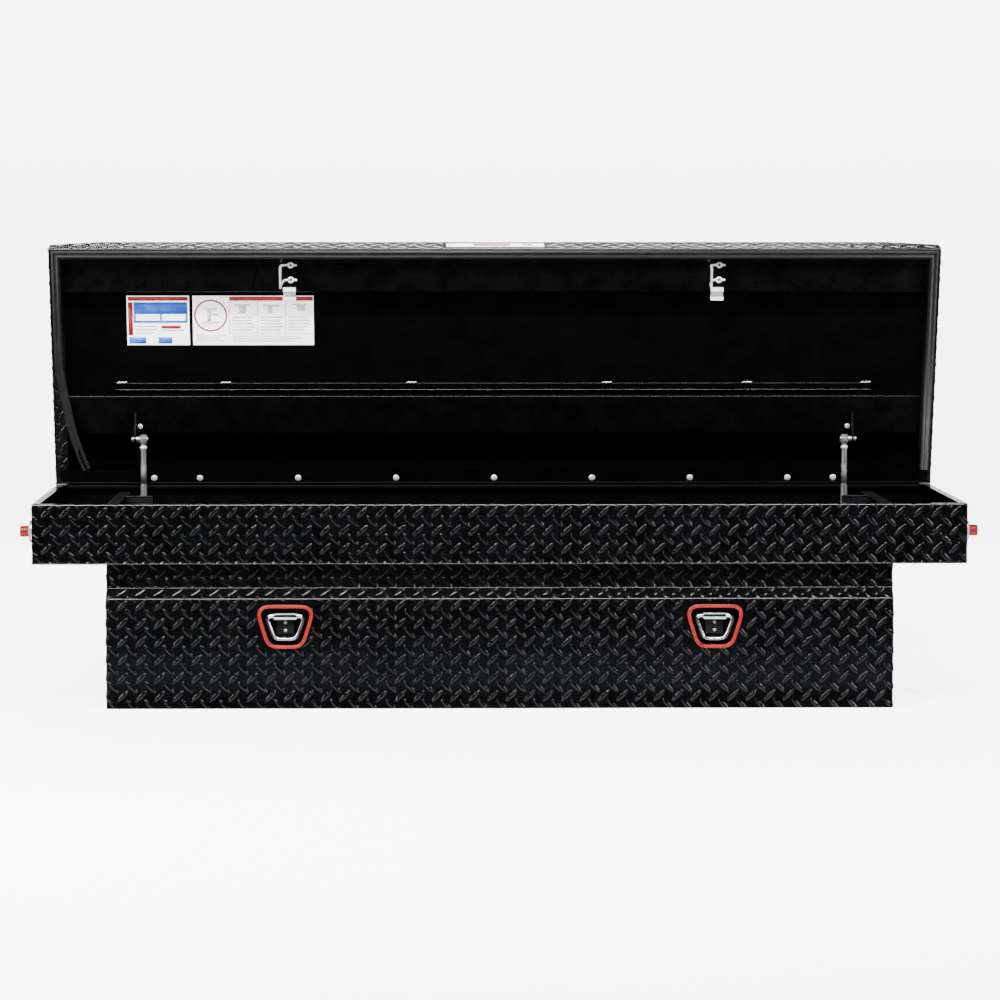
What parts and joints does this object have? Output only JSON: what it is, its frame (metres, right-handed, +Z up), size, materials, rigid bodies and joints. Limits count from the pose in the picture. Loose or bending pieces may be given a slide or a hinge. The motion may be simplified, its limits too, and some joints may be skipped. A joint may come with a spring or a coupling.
{
  "type": "truck tool box",
  "caption": "Crossover truck tool box of black tread plate: hinged lid on gas struts, side push-button locks, recessed tie-down rings.",
  "frame": {"origin": "centre of the tub's underside", "axes": "+X to the right along the box, +Y to the back (hinge side), +Z up"},
  "size_m": [1.872, 0.5627, 0.9034],
  "materials": {
    "tread_plate": "gloss black powder coat over tread plate",
    "sheet_black": "satin black powder coat",
    "zinc_steel": "zinc-plated steel",
    "bright_fastener": "bright plated fastener",
    "strut_metal": "grey metallic tube, ground rod",
    "lock_chrome": "chrome plate",
    "red_trim": "moulded red plastic",
    "seal_rubber": "extruded rubber",
    "label_film": null,
    "badge_plate": "brushed plate, blank"
  },
  "bodies": {
    "box": {"body_studs": "zinc_steel", "ear_end_left": "tread_plate", "ear_end_right": "tread_plate", "ear_floor_left": "sheet_black", "ear_floor_right": "sheet_black", "end_brace_left": "tread_plate", "end_brace_right": "tread_plate", "front_fascia": "tread_plate", "hinge_body_leaf": "sheet_black", "hinge_pin": "zinc_steel", "latch_bolts": "bright_fastener", "latch_brackets": "sheet_black", "latch_pins": "zinc_steel", "latch_springs": "zinc_steel", "link_guides": "sheet_black", "lock_barrels": "lock_chrome", "lock_nuts": "zinc_steel", "rear_upper_panel": "tread_plate", "ring_bezels": "red_trim", "ring_clips": "sheet_black", "ring_pans": "sheet_black", "ring_screws": "bright_fastener", "strut_feet": "sheet_black", "tub_end_left": "tread_plate", "tub_end_right": "tread_plate", "tub_floor": "sheet_black", "tub_front_panel": "tread_plate", "tub_rear_panel": "tread_plate"},
    "lid": {"lid_skin": "tread_plate", "lid_front_channel": "sheet_black", "lid_rear_channel": "sheet_black", "lid_gasket": "seal_rubber", "hinge_lid_leaf": "sheet_black", "hinge_bolts": "bright_fastener", "lid_labels": "label_film", "lid_badge": "badge_plate", "lid_rod_rail": "sheet_black", "lid_rod": "zinc_steel", "lid_rod_clips": "zinc_steel", "striker_left": "zinc_steel", "striker_right": "zinc_steel", "striker_screws": "bright_fastener", "striker_clips": "zinc_steel", "lid_bracket_left": "sheet_black", "lid_bracket_right": "sheet_black", "lid_studs": "zinc_steel", "bracket_bolts": "bright_fastener"},
    "strut_tube_left": {"strut_tube_left": "strut_metal"},
    "strut_rod_left": {"strut_rod_left": "strut_metal"},
    "ring_left": {"tie_ring_left": "zinc_steel"},
    "button_left": {"push_button_left": "red_trim", "link_rod_left": "zinc_steel"},
    "hook_left": {"latch_hook_left": "zinc_steel"},
    "strut_tube_right": {"strut_tube_right": "strut_metal"},
    "strut_rod_right": {"strut_rod_right": "strut_metal"},
    "ring_right": {"tie_ring_right": "zinc_steel"},
    "button_right": {"push_button_right": "red_trim", "link_rod_right": "zinc_steel"},
    "hook_right": {"latch_hook_right": "zinc_steel"}
  },
  "joints": [
    {"name": "lid_hinge", "type": "hinge", "parent": "box", "child": "lid", "pos_m": [0, 0.249, 0.403], "axis": [1, 0, 0], "range_deg": [0, 77], "stiffness_Nm_per_rad": 24, "springref_deg": -20.05},
    {"name": "strut_tube_left", "type": "hinge", "parent": "lid", "child": "strut_tube_left", "pos_m": [-0.727, 0.22335, 0.49551], "axis": [1, 0, 0], "range_deg": [-38.5, 0]},
    {"name": "strut_rod_left", "type": "hinge", "parent": "box", "child": "strut_rod_left", "pos_m": [-0.727, 0.22335, 0.31049], "axis": [1, 0, 0], "range_deg": [0, 38.5]},
    {"name": "ring_swing_left", "type": "hinge", "parent": "box", "child": "ring_left", "pos_m": [-0.418, -0.237, 0.181], "axis": [-1, 0, 0], "range_deg": [0, 95]},
    {"name": "button_press_left", "type": "slide", "parent": "box", "child": "button_left", "axis": [1, 0, 0], "range_m": [0, 0.006], "stiffness_N_per_m": 400, "springref_m": -0.005},
    {"name": "hook_turn_left", "type": "hinge", "parent": "box", "child": "hook_left", "pos_m": [-0.429, -0.191, 0.318], "axis": [0, 1, 0], "range_deg": [0, 15]},
    {"name": "strut_tube_right", "type": "hinge", "parent": "lid", "child": "strut_tube_right", "pos_m": [0.727, 0.22335, 0.49551], "axis": [1, 0, 0], "range_deg": [-38.5, 0]},
    {"name": "strut_rod_right", "type": "hinge", "parent": "box", "child": "strut_rod_right", "pos_m": [0.727, 0.22335, 0.31049], "axis": [1, 0, 0], "range_deg": [0, 38.5]},
    {"name": "ring_swing_right", "type": "hinge", "parent": "box", "child": "ring_right", "pos_m": [0.418, -0.237, 0.181], "axis": [-1, 0, 0], "range_deg": [0, 95]},
    {"name": "button_press_right", "type": "slide", "parent": "box", "child": "button_right", "axis": [-1, 0, 0], "range_m": [0, 0.006], "stiffness_N_per_m": 400, "springref_m": -0.005},
    {"name": "hook_turn_right", "type": "hinge", "parent": "box", "child": "hook_right", "pos_m": [0.429, -0.191, 0.318], "axis": [0, -1, 0], "range_deg": [0, 15]}
  ],
  "couplings": [
    {"joint": "strut_tube_left", "follows": "lid_hinge", "ratio": -0.5},
    {"joint": "strut_rod_left", "follows": "lid_hinge", "ratio": 0.5},
    {"joint": "hook_turn_left", "follows": "button_press_left", "rad_per_m": 43.6},
    {"joint": "strut_tube_right", "follows": "lid_hinge", "ratio": -0.5},
    {"joint": "strut_rod_right", "follows": "lid_hinge", "ratio": 0.5},
    {"joint": "hook_turn_right", "follows": "button_press_right", "rad_per_m": 43.6}
  ]
}
